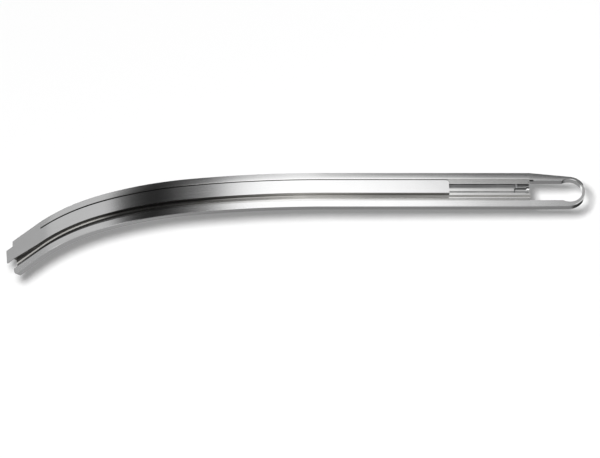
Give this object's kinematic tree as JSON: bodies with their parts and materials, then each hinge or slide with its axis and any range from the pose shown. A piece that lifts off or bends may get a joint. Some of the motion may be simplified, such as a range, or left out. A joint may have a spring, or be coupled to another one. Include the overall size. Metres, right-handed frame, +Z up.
{
  "type": "video laryngoscope camera spine",
  "caption": "Curved steel camera spine of a video laryngoscope, with a keyhole loop, a sprung catch, contact strips and a camera and lamp at its tip.",
  "frame": {"origin": "centre of the bounding box in plan, on the surface that the part stands on", "axes": "+X along the part towards its keyhole loop, +Y across it towards its far edge, which carries the cover strip, +Z up"},
  "size_m": [0.2033, 0.014, 0.0288],
  "materials": {
    "spine_steel": "polished lengthways",
    "cover_steel": "polished lengthways",
    "screw_steel": "satin",
    "seal_rubber": "matt",
    "bed_plastic": "matt",
    "ribbon_film": "gloss",
    "contact_metal": "bright",
    "housing_alloy": "satin",
    "dark_rubber": "matt",
    "optic_glass": "clear",
    "black_metal": "matt",
    "filter_glass": "clear",
    "sensor_chip": "gloss",
    "board_green": "gloss",
    "led_phosphor": "matt",
    "catch_steel": "satin",
    "spring_steel": "satin"
  },
  "bodies": {
    "spine": {"spine_channel": "spine_steel", "cover_strip": "cover_steel", "cover_screws": "screw_steel", "cover_seal": "seal_rubber", "cable_bed": "bed_plastic", "camera_ribbon": "ribbon_film", "lamp_ribbon": "ribbon_film", "camera_contact_strip": "contact_metal", "lamp_contact_strip": "contact_metal", "camera_housing": "housing_alloy", "housing_screws": "screw_steel", "tip_seal": "dark_rubber", "camera_window": "optic_glass", "lens_barrel": "black_metal", "front_lens": "optic_glass", "lens_spacer": "black_metal", "rear_lens": "optic_glass", "infrared_filter": "filter_glass", "image_sensor": "sensor_chip", "sensor_board": "board_green", "lamp_window": "optic_glass", "lamp_led": "led_phosphor", "lamp_board": "board_green", "catch_pin": "screw_steel", "catch_spring": "spring_steel"},
    "catch": {"catch_lever": "catch_steel"}
  },
  "joints": [
    {"name": "catch_press", "type": "hinge", "parent": "spine", "child": "catch", "pos_m": [0.07792, 0, 0.0046], "axis": [0, 1, 0], "range_deg": [0, 10], "stiffness_Nm_per_rad": 0.01, "springref_deg": -2.01, "deforming": ["catch_spring"]}
  ]
}
